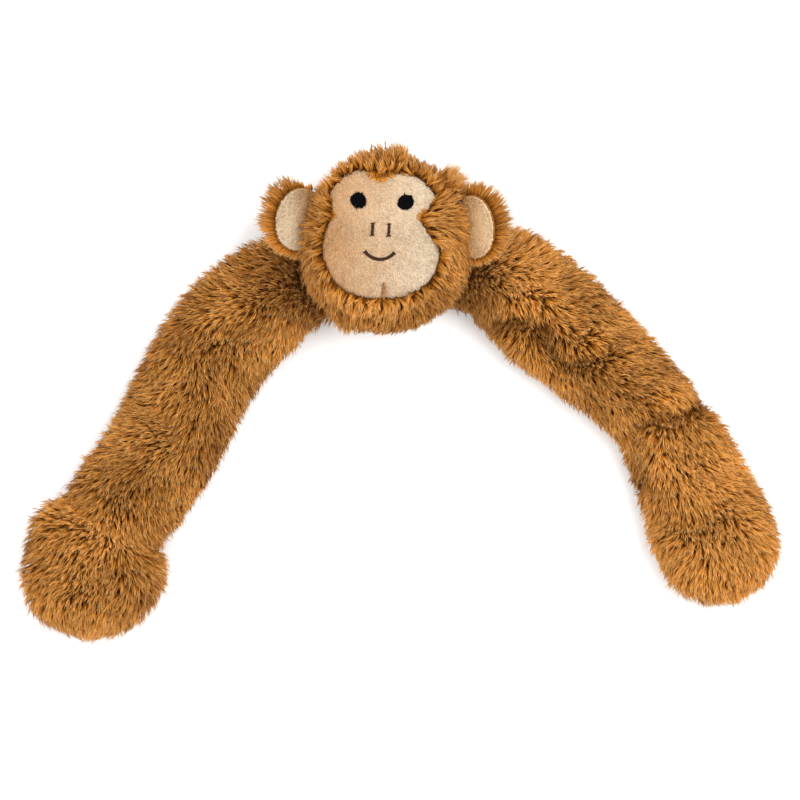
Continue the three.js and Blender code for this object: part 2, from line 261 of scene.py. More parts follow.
# Each fold: the pivot it lies by (0 swing, 1 lift, 2 elbow, 3 wrist), its line as millimetres
# from that pivot, its depth and its width. A depth below 0 is the roll of fabric beside a fold.
# The depth also paints the pile darker in a fold, as painted shade, and lighter on a roll, as painted
# highlight.
FOLDS = {
    "left": [
        (0, [(38, -24), (30, -8), (24, 10)], 6 * MM, 7 * MM),
        (1, [(22, 4), (6, -2)], 3 * MM, 6 * MM),
        (3, [(34, 4), (16, 0)], 3.5 * MM, 6 * MM),
        (0, [(14, -20), (4, -34)], -3 * MM, 8 * MM),
        (1, [(16, 16), (-2, 10), (-14, 2)], -3 * MM, 8 * MM),
    ],
    "right": [
        (0, [(-34, -18), (-24, 0), (-14, 12)], 5 * MM, 7 * MM),
        (1, [(-30, 2), (-16, 3), (-6, -2), (-2, -15), (8, -26), (23, -25), (38, -15)], 10 * MM, 6 * MM),
        (2, [(-8, -4), (4, -1), (15, -1), (26, 2), (36, 6)], 7 * MM, 5.5 * MM),
        (2, [(-8, -8), (-6, -32), (-1, -45)], 6 * MM, 7 * MM),
        (3, [(-30, 8), (-14, 4)], 3 * MM, 6 * MM),
        (1, [(-24, 14), (-10, 15), (5, 9), (10, -5), (18, -14), (29, -13)], -4.5 * MM, 7 * MM),
        (2, [(2, 12), (16, 13)], -3 * MM, 7 * MM),
        (2, [(6, -14), (4, -32)], -3.5 * MM, 8 * MM),
    ],
}


def near_line(place, line, width):
    """1 on a line drawn over the sleeve, falling to 0 away from it."""
    nearest = np.full(place.shape[:-1], np.inf)
    for start, end in zip(line, line[1:]):
        span = end - start
        share = np.clip((place - start) @ span / (span @ span), 0, 1)
        distance = np.linalg.norm(place - start - share[..., None] * span, axis=-1)
        nearest = np.minimum(nearest, distance)
    return np.exp(-(nearest / width) ** 2)


class Sleeve:
    """Half of the sleeve: from behind the middle of the head to the tip of one paw."""

    SPAN_STEPS = 60

    def __init__(self, side):
        self.side = side
        self.names = [f"{stage}_{side}" for stage in ("swing", "lift", "elbow", "wrist")]
        pivots = [pivot(name) for name in self.names]
        self.pivots = pivots
        paw = cad_points(f"paw_{side}_front_panel")
        reach = ((paw - pivots[3]) @ outward(self.names[3])).max()
        self.reach = reach - EDGE_DEPTH[side]
        tip = pivots[3] + outward(self.names[3]) * self.reach
        yoke = (pivot("swing_left") + pivot("swing_right")) / 2
        self.lay_course([yoke, *pivots, tip])
        self.size_stations(paw, yoke)

    def lay_course(self, stops):
        """A smooth line through the stops, as a table by arc length."""
        stops = np.array([point[:2] for point in stops])
        stops[1:] += np.array(SAGS[self.side]) * MM
        spans = np.linalg.norm(np.diff(stops, axis=0), axis=1)
        slopes = np.zeros_like(stops)
        for i in range(1, len(stops) - 1):
            before = (stops[i] - stops[i - 1]) / spans[i - 1]
            after = (stops[i + 1] - stops[i]) / spans[i]
            slopes[i] = unit(before * spans[i] + after * spans[i - 1])
        slopes[0] = unit(stops[1] - stops[0])
        slopes[-1] = unit(stops[-1] - stops[-2])
        line = []
        for i, span in enumerate(spans):
            t = np.linspace(0, 1, self.SPAN_STEPS, endpoint=False)[:, None]
            start, end = stops[i], stops[i + 1]
            line.append((2 * t**3 - 3 * t**2 + 1) * start + (t**3 - 2 * t**2 + t) * slopes[i] * span
                        + (3 * t**2 - 2 * t**3) * end + (t**3 - t**2) * slopes[i + 1] * span)
        line.append(stops[-1:])
        line = np.concatenate(line)
        steps = np.linalg.norm(np.diff(line, axis=0), axis=1)
        self.run = np.concatenate([[0], np.cumsum(steps)])
        self.line = line
        self.stops = self.run[[self.SPAN_STEPS * i for i in range(len(stops) - 1)] + [-1]]

    def size_stations(self, paw, yoke):
        """Half widths and thicknesses at the stops, measured on the CAD solids."""
        def half_width(node, centre, along):
            across = np.cross(UP, along)
            points = cad_points(node) - centre
            distance = np.abs(points @ along)
            near = distance < distance.min() + 3 * MM
            return np.abs(points[near] @ across).max()

        side = self.side
        yoke_half = half_width("yoke_front_panel", yoke, unit(self.pivots[0] - yoke))
        shoulder = half_width(f"shoulder_{side}_front_panel", self.pivots[0], outward(self.names[1]))
        elbow = half_width(f"forearm_{side}_front_panel", self.pivots[2], outward(self.names[2]))
        wrist = half_width(f"paw_{side}_front_panel", self.pivots[3], outward(self.names[3]))
        self.paw_half = np.abs((paw - self.pivots[3]) @ np.array(joints[self.names[3]]["axis"])).max()
        spreads = np.array(SPREADS[side]) * MM
        self.half_widths = np.array([yoke_half, shoulder, shoulder, elbow, wrist]) + spreads[:5]
        self.paw_half = self.paw_half + spreads[5]
        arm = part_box(f"shoulder_{side}_front_panel")[1].z
        self.thicknesses = np.array([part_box("yoke_front_panel")[1].z, arm, arm, arm, arm])
        self.paw_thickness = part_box(f"paw_{side}_front_panel")[1].z

    def course(self, along):
        """Middle line, direction and left-hand side of the sleeve."""
        step = 0.5 * MM
        here, ahead = [
            np.stack([np.interp(along + d, self.run, self.line[:, k]) for k in (0, 1)], -1)
            for d in (-step, step)
        ]
        way = unit(np.concatenate([ahead - here, np.zeros((*along.shape, 1))], -1))
        middle = np.concatenate([(here + ahead) / 2, np.zeros((*along.shape, 1))], -1)
        return middle, way, np.cross(UP, way)

    def surface(self, along, turn):
        """A point on the fabric: turn runs round the sleeve, from its left edge over the front."""
        wrist, tip = self.stops[4], self.stops[5]
        half = np.interp(along, self.stops[:5], self.half_widths)
        thick = np.interp(along, self.stops[:5], self.thicknesses)
        swell = smooth(along, wrist + PAW_STARTS[self.side], wrist + PAW_FULL[self.side])
        half = half + (self.paw_half - self.half_widths[4]) * swell - EDGE_DEPTH[self.side]
        thick = thick + (self.paw_thickness - self.thicknesses[4]) * swell - SKIN_DEPTH - UNDER_DEPTH
        neck = np.exp(-((along - wrist - PAW_STARTS[self.side]) / PAW_NECK_REACH) ** 2)
        half = half - PAW_NECK * neck
        cap_start = wrist + PAW_ROUNDING[self.side] * self.reach
        cap = np.clip((along - cap_start) / (tip - cap_start), 0, 1)
        closing = np.sqrt(np.maximum(1 - cap ** 2.2, 0))
        half = half * closing
        across = np.cos(turn)
        rise = np.sin(turn)
        upright = np.where(rise < 0, np.maximum(-1, UNDER_PRESS * rise), rise)
        middle, way, left = self.course(along)
        level = UNDER_DEPTH + thick / 2
        place = middle + left * (half * across)[..., None]
        lumps = sum(drift(place, apart, seed) * high * MM for apart, seed, high in LUMPS)
        front = smooth(rise, -0.2, 0.5)
        lumps = lumps * front * closing - self.fold_depth(place) * front
        place = place + UP * (level + upright * (thick / 2 * closing ** 0.8 + lumps))[..., None]
        return place + left * (lumps * across * 0.8)[..., None]

    def fold_depth(self, place):
        """Valleys where the slack sleeve folds over itself."""
        deep = 0
        for stop, line, depth, width in FOLDS[self.side]:
            drawn = self.pivots[stop][:2] + np.array(line) * MM
            deep = deep + depth * near_line(place[..., :2], drawn, width)
        return deep

    def tangents(self, along, turn):
        """Point, outward normal, and the two ways along the fabric."""
        place = self.surface(along, turn)
        step = 0.2 * MM
        lengthways = self.surface(along + step, turn) - self.surface(along - step, turn)
        bend = 0.01
        round_about = self.surface(along, turn + bend) - self.surface(along, turn - bend)
        normal = unit(np.cross(unit(round_about), unit(lengthways)))
        return place, normal, unit(lengthways), unit(round_about)


sleeves = {side: Sleeve(side) for side in ("left", "right")}


def mesh_object(name, points, quads, triangles, material):
    """A smooth mesh object from numpy arrays of points, four-sided and three-sided faces."""
    mesh = bpy.data.meshes.new(name)
    corners = np.concatenate([np.ravel(quads), np.ravel(triangles)]).astype(np.int32)
    sizes = np.concatenate([np.full(len(quads), 4), np.full(len(triangles), 3)])
    starts = np.concatenate([[0], np.cumsum(sizes)[:-1]]).astype(np.int32)
    mesh.vertices.add(len(points))
    mesh.vertices.foreach_set("co", np.ravel(points).astype(np.float32))
    mesh.loops.add(len(corners))
    mesh.loops.foreach_set("vertex_index", corners)
    mesh.polygons.add(len(sizes))
    mesh.polygons.foreach_set("loop_start", starts)
    mesh.polygons.foreach_set("use_smooth", np.ones(len(sizes), bool))
    mesh.update(calc_edges=True)
    mesh.validate()
    mesh.materials.append(material)
    made = bpy.data.objects.new(name, mesh)
    scene.collection.objects.link(made)
    return made


def tube_faces(rings, around, first_cap, last_cap):
    """Quads between closed rings of points, and fans onto a middle point at each end."""
    ring, spot = np.meshgrid(np.arange(rings - 1), np.arange(around), indexing="ij")
    a = (ring * around + spot).ravel()
    b = (ring * around + (spot + 1) % around).ravel()
    quads = np.stack([a, b, b + around, a + around], -1)
    spot = np.arange(around)
    after = (spot + 1) % around
    last = (rings - 1) * around
    triangles = np.concatenate([
        np.stack([np.full(around, first_cap), after, spot], -1),
        np.stack([np.full(around, last_cap), last + spot, last + after], -1),
    ])
    return quads, triangles


backing = Finish("fur_backing", 0.95)
knit = backing.noise(900, 3)
backing.set("Base Color", backing.mix(knit, (0.20, 0.075, 0.010, 1), (0.30, 0.12, 0.020, 1)))
backing.bump(knit, 0.0006)


ROW_SPACING = 4 * MM


def stuffed_sleeve(name, sleeve, start, end):
    """The stuffed fabric tube of one stretch, closed at both ends."""
    rows = max(4, int((end - start) / ROW_SPACING))
    along = np.linspace(start, end, rows)
    if end >= sleeve.stops[5]:
        along = end - (end - start) * np.linspace(1, 0.02, rows) ** 1.6
    around = 56
    turn = np.linspace(0, 2 * math.pi, around, endpoint=False)
    grid = sleeve.surface(*np.meshgrid(along, turn, indexing="ij"))
    points = np.concatenate([grid.reshape(-1, 3), grid[0].mean(0)[None], grid[-1].mean(0)[None]])
    quads, triangles = tube_faces(rows, around, rows * around, rows * around + 1)
    return mesh_object(name, points, quads[:, ::-1], triangles[:, ::-1], backing.material)


# The first stretch runs on past the shoulder's swing pivot by this much.
SHARED = 20 * MM


def stretches(sleeve):
    """Each spans one fold: name, fold, ends, the bodies on both sides, what it stands for."""
    side = sleeve.side
    swing, lift, elbow, wrist, tip = sleeve.stops[1:]
    cuts = [0, swing + SHARED, (lift + elbow) / 2, (elbow + wrist) / 2, tip]
    stages = ["shoulder", "upper_arm", "forearm", "paw"]
    bodies = ["head", *[f"{stage}_{side}" for stage in stages]]
    for i, stage in enumerate(stages):
        stands_for = [bodies[i + 1], "yoke"] if i == 0 else [bodies[i + 1]]
        yield f"{stage}_sleeve_{side}", i, cuts[i], cuts[i + 1], bodies[i:i + 2], stands_for


# How far before and after each pivot the fabric would take part in a bend; nothing bends the pieces by it.
FOLD_REACH = [(26 * MM, 16 * MM), (17 * MM, 24 * MM), (26 * MM, 26 * MM), (26 * MM, 22 * MM)]


def bend_with(piece, sleeve, fold):
    """Bakes the piece's placement into its mesh; the fold's centre, reach and way are worked out, but the
    piece is not bent.
    """
    centre = sleeve.pivots[fold]
    before, after = FOLD_REACH[fold]
    _, way, _ = sleeve.course(np.array([sleeve.stops[fold + 1]]))
    centre - way[0] * before
    centre + way[0] * after
    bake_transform(piece)


for sleeve in sleeves.values():
    for name, fold, start, end, bodies, nodes in stretches(sleeve):
        piece = stuffed_sleeve(name, sleeve, start, end)
        bend_with(piece, sleeve, fold)
        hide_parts(*[f"{node}_filling" for node in nodes])

# ---------------------------------------------------------------- pile of the sleeves
# The golden-brown polyester pile is about 13 mm long and stands in pointed tufts of a few
# strands that cling together at their tips. It is brushed from the shoulders to the paws,
# parts along the top of the arms and wanders in swirls.

# Combed over, the pile reaches this far from its roots.
PILE = 11.5 * MM
TUFT_SPACING = {"front": 2.15 * MM, "back": 2.9 * MM}
TUFT_RADIUS = 1.2 * MM
STRAND_RADIUS = 0.34 * MM
FLOOR_GAP = 0.3 * MM

fur = Finish("long_pile", 0.65, specular=0.10)
tipwards = fur.node("ShaderNodeAttribute", {"attribute_name": "tipwards"}, output=2)
tone = fur.node("ShaderNodeAttribute", {"attribute_name": "tone"}, output=2)
# The ramp darkens each strand towards its root as painted shade down in the pile, and pales it at the tip
# as painted highlight.
gold = fur.node("ShaderNodeValToRGB", {"stops": [
    (0.0, (0.17, 0.052, 0.003)),
    (0.35, (0.43, 0.156, 0.016)),
    (0.75, (0.66, 0.298, 0.066)),
    (1.0, (0.88, 0.535, 0.22)),
]}, {"Fac": tipwards})
shaded = fur.mix(1.0, gold, fur.node("ShaderNodeValToRGB", {"stops": [
    (0.0, (0.44, 0.37, 0.30)),
    (0.5, (0.90, 0.89, 0.87)),
    (1.0, (1.30, 1.27, 1.22)),
]}, {"Fac": tone}), "MULTIPLY")
fur.set("Base Color", shaded)

# A strand's four points, as shares of its length, and its thickness there.
SPOTS = np.array([0, 0.30, 0.66, 1.0])
WIDTHS = np.array([1.0, 0.95, 0.68, 0.0])


def strand_cells(count):
    """Where each strand lies on the unwrapped sheet: one cell each, root to tip along it."""
    columns = math.ceil(math.sqrt(count / 2))
    rows = math.ceil(count / columns)
    index = np.arange(count)
    left = (index % columns + 0.08) / columns
    low = (index // columns + 0.1) / rows
    return left, low, 0.84 / columns, 0.8 / rows


def strand_mesh(name, path, radius, side, tones, material):
    """Tapered three-sided strands along paths of four points, closed at the root.

    Each has ten points: three rings of three, and its tip.
    """
    count = len(path)
    ahead = unit(np.gradient(path, axis=1))
    across = unit(side[:, None] - ahead * (ahead * side[:, None]).sum(-1, keepdims=True))
    third = np.cross(ahead, across)
    ring = []
    for corner in range(3):
        angle = 2 * math.pi * corner / 3 + 0.5
        out = across * math.cos(angle) + third * math.sin(angle)
        ring.append(path + out * radius[:, None, None] * WIDTHS[None, :, None])
    rings = np.stack(ring, 2)[:, :3].reshape(count, 9, 3)
    points = np.concatenate([rings, path[:, 3:]], 1)
    base = np.arange(count)[:, None, None] * 10
    quads = [[r * 3 + c, r * 3 + (c + 1) % 3, r * 3 + 3 + (c + 1) % 3, r * 3 + 3 + c]
             for r in (0, 1) for c in range(3)]
    triangles = [[6 + c, 6 + (c + 1) % 3, 9] for c in range(3)] + [[2, 1, 0]]
    made = mesh_object(name, points.reshape(-1, 3), (base + np.array(quads)).reshape(-1, 4),
                       (base + np.array(triangles)).reshape(-1, 3), material)
    left, low, wide, high = strand_cells(count)
    quad_spots = [[[SPOTS[r + up], (c + over) / 3] for up, over in ((0, 0), (0, 1), (1, 1), (1, 0))]
                  for r in (0, 1) for c in range(3)]
    tip_spots = [[[SPOTS[2], c / 3], [SPOTS[2], (c + 1) / 3], [1, (c + 0.5) / 3]] for c in range(3)]
    tip_spots.append([[0, 0], [0, 0.2], [0.05, 0.1]])
    corner = np.stack([left, low], -1)[:, None, None]
    size = np.array([wide, high])
    sheet = np.concatenate([(corner + np.array(quad_spots) * size).reshape(-1, 2),
                            (corner + np.array(tip_spots) * size).reshape(-1, 2)])
    made.data.uv_layers.new(name="OFBake").data.foreach_set("uv", sheet.ravel().astype(np.float32))
    values = {
        "tipwards": np.tile(np.concatenate([np.repeat(SPOTS[:3], 3), [1]]), count),
        "tone": np.repeat(tones, 10),
    }
    for attribute, value in values.items():
        data = made.data.attributes.new(attribute, "FLOAT", "POINT").data
        data.foreach_set("value", np.clip(value, 0, 1).astype(np.float32))
    return made


def grow(name, roots, normals, combs, seed, pile=PILE, rise=0.50, lie=0.80, strands=5,
         shade=0.5, wander=0.21, gather=1.0):
    """Tufts of pile: each root's strands lean the way of its comb and meet towards the tip."""
    rng = np.random.default_rng(seed)
    count = len(roots)
    sides = unit(np.cross(normals, combs))
    swing = rng.normal(0, wander, (count, 1))
    combs = combs * np.cos(swing) + sides * np.sin(swing)
    sides = unit(np.cross(normals, combs))
    pile, rise, lie = [np.broadcast_to(size, count).reshape(-1, 1, 1) for size in (pile, rise, lie)]
    lift = rise * rng.uniform(0.72, 1.3, (count, 1, 1))
    length = pile * rng.uniform(0.85, 1.15, (count, 1, 1))
    shape = (count, strands, 1)
    angle = rng.uniform(0, 2 * math.pi, shape)
    spread = gather * TUFT_RADIUS * np.sqrt(rng.uniform(0.05, 1, shape))
    offset = (combs[:, None] * np.cos(angle) + sides[:, None] * np.sin(angle)) * spread
    own = length * rng.uniform(0.8, 1.12, shape)
    lift = lift * rng.uniform(0.85, 1.15, shape)
    sway = rng.normal(0, 0.10, shape)
    t = SPOTS[None, None, :, None]
    path = (roots[:, None, None] + offset[:, :, None] * (1 - 0.72 * t)
            + normals[:, None, None] * (own * lift)[:, :, None] * np.sin(t * math.pi / 2)
            + combs[:, None, None] * (own * lie)[:, :, None] * t ** 1.3
            + sides[:, None, None] * (own * sway)[:, :, None] * t ** 2)
    path = path.reshape(-1, 4, 3)
    low = FLOOR_GAP + STRAND_RADIUS
    room = (path[..., 2] - low) / UNDER_DEPTH
    path[..., 2] = low + UNDER_DEPTH * np.where(room < 1, np.exp(np.minimum(room, 1) - 1), room)
    radius = STRAND_RADIUS * rng.uniform(0.75, 1.2, len(path))
    tuft_tone = np.broadcast_to(shade, count)[:, None] + 0.10 * rng.normal(size=(count, 1))
    tuft_tone = tuft_tone + 0.18 * drift(roots, 55 * MM, 5)[:, None]
    tones = (tuft_tone + 0.22 * rng.normal(size=(count, strands))).ravel()
    side = np.repeat(sides, strands, 0)
    return strand_mesh(name, path, radius, side, tones, fur.material)


def sleeve_roots(sleeve, start, end, front, seed):
    """Evenly strewn places on one panel of a stretch, as along and turn."""
    rng = np.random.default_rng(seed)
    spacing = TUFT_SPACING["front" if front else "back"]
    fine = np.linspace(start, end - 0.3 * MM, 400)
    lines = [sleeve.surface(fine, np.full_like(fine, turn)) for turn in (0.0, math.pi / 2)]
    steps = np.maximum(*[np.linalg.norm(np.diff(line, axis=0), axis=1) for line in lines])
    run = np.concatenate([[0], np.cumsum(steps)])
    rows = np.interp(np.arange(spacing / 2, run[-1], spacing), run, fine)
    along, turn = [], []
    for row in rows:
        turns = np.linspace(0, math.pi, 40) + (0 if front else math.pi)
        edge = sleeve.surface(np.full_like(turns, row), turns)
        steps = np.linalg.norm(np.diff(edge, axis=0), axis=1)
        run = np.concatenate([[0], np.cumsum(steps)])
        number = max(1, round(run[-1] / spacing))
        places = (np.arange(number) + 0.5 + rng.uniform(-0.5, 0.5, number)) / number * run[-1]
        turn.append(np.interp(places, run, turns))
        along.append(row + rng.uniform(-0.5, 0.5, number) * spacing)
    along = np.clip(np.concatenate(along), start, end - 0.3 * MM)
    return along, np.concatenate(turn)


# The right elbow has one whorl, from which the pile fans out down the forearm.
WHORL = np.array([26, 4, 0]) * MM
WHORL_REACH = 30 * MM


def sleeve_comb(sleeve, along, turn, place, lengthways, round_about):
    """The brushed way of the pile: along the arm, away from its middle, in swirls."""
    front = np.sign(np.sin(turn))
    parting = -0.85 * np.cos(turn) * front * (1 - 0.4 * smooth(along, sleeve.stops[4], sleeve.stops[5]))
    swirl = 0.45 * drift(place, 75 * MM, 21, 1) + 0.30 * drift(place, 24 * MM, 22, 1)
    angle = (parting + swirl)[:, None]
    way = lengthways * np.cos(angle) + round_about * np.sin(angle)
    if sleeve.side == "right":
        away = (place - sleeve.pivots[2] - WHORL) * [1, 1, 0]
        beyond = smooth((away * lengthways).sum(-1), -8 * MM, 4 * MM) * (np.sin(turn) > 0.1)
        share = np.exp(-(np.linalg.norm(away, axis=1) / WHORL_REACH) ** 2) * beyond
        way = way + unit(away) * 1.8 * share[:, None]
    return unit(way)


# How pale the pile is on each arm; the left is set darker than the right as painted shade on the side
# away from the key lamp. It pales towards the paws, and is painted darker in the folds as painted shade.
SHADES = {"left": 0.34, "right": 0.41}

for sleeve in sleeves.values():
    for name, fold, start, end, bodies, nodes in stretches(sleeve):
        for panel in ("front", "back"):
            seed = 100 + 10 * fold + (panel == "back") + 50 * (sleeve.side == "right")
            along, turn = sleeve_roots(sleeve, start, end, panel == "front", seed)
            place, normal, lengthways, round_about = sleeve.tangents(along, turn)
            comb = sleeve_comb(sleeve, along, turn, place, lengthways, round_about)
            upright = np.exp(-(np.cos(turn) / 0.45) ** 2) * (0.6 + 0.4 * drift(place, 40 * MM, 23))
            upright = np.clip(upright, 0, 1) * (panel == "front")
            shade = SHADES[sleeve.side] + 0.16 * smooth(along, sleeve.stops[3], sleeve.stops[4])
            if sleeve.side == "right":
                shade = shade + 0.12 * smooth(along, sleeve.stops[3] - 25 * MM, sleeve.stops[3] + 5 * MM)
            # Painted shade in the folds, and painted highlight on the rolls beside them.
            shade = shade - 0.055 * sleeve.fold_depth(place) / MM
            strands = 5 if panel == "front" else 4
            piece = grow(f"{name}_{panel}_pile", place, normal, comb, seed, rise=0.5 + 0.3 * upright,
                         lie=0.78 - 0.30 * upright, strands=strands, shade=shade)
            bend_with(piece, sleeve, fold)
            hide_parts(*[f"{node}_{panel}_panel" for node in nodes])

# ---------------------------------------------------------------- head
# A stuffed ball of fur fabric, flattened behind by the sleeve it is sewn on, with a bulging
# muzzle. The fur covers everything but the face, and is brushed away from it.

head_low = np.minimum(*[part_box(f"head_{side}_cover")[0] for side in ("front", "back")])
head_high = np.maximum(*[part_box(f"head_{side}_cover")[1] for side in ("front", "back")])
HEAD_RADII = (head_high - head_low) / 2
HEAD_RADII[2] = head_high[2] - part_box("head_back_cover")[1].z
head_centre = np.array([*(head_low + head_high)[:2] / 2, head_high[2] - HEAD_RADII[2]])
HEAD_TILT = math.radians(-2.5)
FACE_SHIFT = -3.5 * MM
MUZZLE_RADII = np.array([41, 33, 28]) * MM
MUZZLE_DROP = 16 * MM
MUZZLE_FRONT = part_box("face_patch")[1].z + 3 * MM
MUZZLE_SOFTNESS = 4 * MM


def head_frame(points):
    """From the head's own upright frame to the model's."""
    turn = np.array([[math.cos(HEAD_TILT), -math.sin(HEAD_TILT), 0],
                     [math.sin(HEAD_TILT), math.cos(HEAD_TILT), 0], [0, 0, 1]])
    return points @ turn.T + head_centre


def ball_reach(ways, radii, centre):
    """How far a ray from the head's middle runs inside a ball; less than nothing if it misses."""
    a = ((ways / radii) ** 2).sum(-1)
    b = (ways * centre / radii**2).sum(-1)
    c = ((centre / radii) ** 2).sum() - 1
    inside = b * b - a * c
    return np.where(inside > 0, (b + np.sqrt(np.maximum(inside, 0))) / a, 0)


def soft_max(first, second, softness):
    """The greater of two, with a rounded valley where they meet."""
    gap = np.clip(0.5 + (second - first) / (2 * softness), 0, 1)
    return first + (second - first) * gap + softness * gap * (1 - gap)


def head_surface(ways, depth):
    """The head's fabric in a direction from its middle, that deep below the CAD surface."""
    cheeks = 1 + 0.05 * smooth(-ways[..., 1], -0.1, 0.7) - 0.03 * smooth(ways[..., 1], 0.2, 0.9)
    skull = ball_reach(ways, HEAD_RADII - depth, np.zeros(3))
    centre = np.array([FACE_SHIFT, -MUZZLE_DROP, MUZZLE_FRONT - head_centre[2] - MUZZLE_RADII[2]])
    muzzle = ball_reach(ways, MUZZLE_RADII - depth, centre)
    reach = soft_max(skull, muzzle, MUZZLE_SOFTNESS)
    same = np.ones_like(cheeks)
    place = ways * reach[..., None] * np.stack([cheeks, same, same], -1)
    place = place + ways * (drift(place, 50 * MM, 31) * 0.8 * MM)[..., None]
    return head_frame(place)


def head_tangents(ways, depth):
    """Point and outward normal of the head's fabric."""
    side = unit(np.cross(ways, np.array([0.31, 0.2, 0.93])))
    other = np.cross(ways, side)
    step = 0.01
    first, second = [
        head_surface(unit(ways + way * step), depth) - head_surface(unit(ways - way * step), depth)
        for way in (side, other)
    ]
    normal = unit(np.cross(first, second))
    return head_surface(ways, depth), normal * np.sign((normal * ways).sum(-1, keepdims=True))


# The pile's roots lie this deep, the ball under them 1.5 mm deeper, and the sleeve that the head
# sits on is this high where it is pressed.
HEAD_DEPTH = 5.0 * MM
BALL_DEPTH = HEAD_DEPTH + 1.5 * MM
PRESSED_SLEEVE = 6 * MM
rings, around = 48, 96
tall = np.linspace(0.02, math.pi - 0.02, rings)
wide = np.linspace(0, 2 * math.pi, around, endpoint=False)
tall, wide = np.meshgrid(tall, wide, indexing="ij")
ways = np.stack([np.sin(tall) * np.cos(wide), np.sin(tall) * np.sin(wide), np.cos(tall)], -1)
grid = head_surface(ways, BALL_DEPTH)
points = np.concatenate([grid.reshape(-1, 3), grid[0].mean(0)[None], grid[-1].mean(0)[None]])
points[:, 2] = np.maximum(points[:, 2], PRESSED_SLEEVE)
quads, triangles = tube_faces(rings, around, rings * around, rings * around + 1)
head_ball = mesh_object("head_ball", points, quads, triangles, backing.material)
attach(head_ball, "head")
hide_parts("head_filling")

# ---------------------------------------------------------------- face
# A patch of short peach velour, sewn into the fur along an outline like a cottage loaf: two
# round brow lobes, a notch on each side and a broad muzzle, drawn in under the chin by a dart.

# The outline, clockwise from the point between the brows. The stuffing pulls it out of true.
face_ring = np.array([
    [-1.5, 39.5], [4, 43], [12.5, 45], [24, 41], [33, 32.5], [34, 26.5], [30, 22], [24.5, 17],
    [26.5, 11], [32, 4], [37, -2], [38.5, -7.5], [36, -18.5], [26, -30.5], [14.5, -35.5], [4, -37],
    [-12, -36], [-24.5, -31.5], [-33, -20.5], [-37, -4], [-34.5, 8], [-30.5, 15.5],
    [-33, 23], [-33.5, 31], [-26, 40.5], [-15, 46], [-7, 43.5],
]) * MM
face_angles = np.arctan2(face_ring[:, 1], face_ring[:, 0])
face_order = np.argsort(face_angles)


OUTLINE_ROUNDING = 0.055


def face_radius(angle):
    """The outline's distance from the middle of the face, rounded between its points."""
    known = face_angles[face_order]
    first = known[0]
    reach = np.linalg.norm(face_ring[face_order], axis=1)
    known = np.concatenate([known - 2 * math.pi, known, known + 2 * math.pi])
    reach = np.tile(reach, 3)
    shifts = np.linspace(-OUTLINE_ROUNDING, OUTLINE_ROUNDING, 7)
    total = 0
    for shift in shifts:
        total = total + np.interp(np.mod(angle + shift - first, 2 * math.pi) + first, known, reach)
    return total / len(shifts)


def face_height(x, y, depth):
    """The velour's height over a place on the face, in the head's own frame."""
    def dome(radii, cx, cy, cz):
        left = 1 - ((x - cx) / (radii[0] - depth)) ** 2 - ((y - cy) / (radii[1] - depth)) ** 2
        share = np.where(left > 0.04, np.sqrt(np.maximum(left, 0.04)), 0.1 + 2.5 * left)
        return cz + (radii[2] - depth) * share

    skull = dome(HEAD_RADII, 0, 0, 0)
    centre = MUZZLE_FRONT - head_centre[2] - MUZZLE_RADII[2]
    muzzle = dome(MUZZLE_RADII, FACE_SHIFT, -MUZZLE_DROP, centre)
    return soft_max(skull, muzzle, MUZZLE_SOFTNESS)


FACE_DEPTH = 4.2 * MM
SEAM_DEPTH = 2.0 * MM
DART_SIDE = 3.5 * MM
DART_TOP = -24 * MM
DART_END = -34 * MM
DART_DEPTH = 3.2 * MM

# Shallow hollows: each eye's socket, the pucker at the dart and a dimple beside it. A middle and
# two radii in millimetres, and a depth.
HOLLOWS = [
    ((-15.3, 26), (11, 9), 1.2 * MM),
    ((15.3, 26), (11, 9), 1.2 * MM),
    ((3.5, -28), (7, 8), 1.0 * MM),
    ((-7, -20), (5, 5), 0.9 * MM),
]


def face_surface(share, angle):
    """A point of the patch: share runs from its middle to its sewn edge."""
    radius = face_radius(angle) * share
    x = FACE_SHIFT + radius * np.cos(angle)
    y = radius * np.sin(angle)
    height = face_height(x, y, FACE_DEPTH)
    lx = x - FACE_SHIFT
    height = height - SEAM_DEPTH * smooth(share, 0.93, 1.0) ** 2
    dart = smooth(-y, -DART_TOP, -DART_END)
    groove = np.exp(-((lx - DART_SIDE) / (0.8 * MM + 1.6 * MM * dart)) ** 2)
    height = height - DART_DEPTH * groove * dart
    for middle, radii, depth in HOLLOWS:
        beside = (lx - middle[0] * MM) / (radii[0] * MM)
        above = (y - middle[1] * MM) / (radii[1] * MM)
        height = height - depth * np.exp(-(beside ** 2 + above ** 2))
    flat = np.stack([x, y, np.zeros_like(x)], -1)
    height = height + 0.5 * MM * drift(flat, 26 * MM, 41)
    return head_frame(np.stack([x, y, height], -1))


def velour_finish(name, deep, pale, start, end):
    """Velour that turns from a deep to a pale peach between two places along X, in metres: painted shade
    at the first, painted light at the second.
    """
    velour = Finish(name, 0.9, sheen=0.12, specular=0.12)
    blush = velour.noise(28, 2)
    spot = velour.node("ShaderNodeTexCoord", output=3)
    side = velour.node("ShaderNodeSeparateXYZ", {}, {"Vector": spot})
    across = velour.node("ShaderNodeMapRange", {}, {"Value": side, "From Min": start, "From Max": end})
    # The deep peach is painted shade and the pale one painted light, blended along X with a blush of
    # noise.
    peach = velour.mix(blush * 0.4 + across * 0.75 - 0.1, (*deep, 1), (*pale, 1))
    tone = velour.node("ShaderNodeAttribute", {"attribute_name": "tone"}, output=2)
    tips = velour.mix(1.0, peach, (1.30, 1.33, 1.38, 1), "MULTIPLY")
    hollows = velour.mix(1.0, peach, (0.76, 0.71, 0.64, 1), "MULTIPLY")
    velour.set("Base Color", velour.mix(tone, hollows, tips))
    velour.bump(velour.noise(2200, 1), 0.0003, 0.5)
    return velour.material


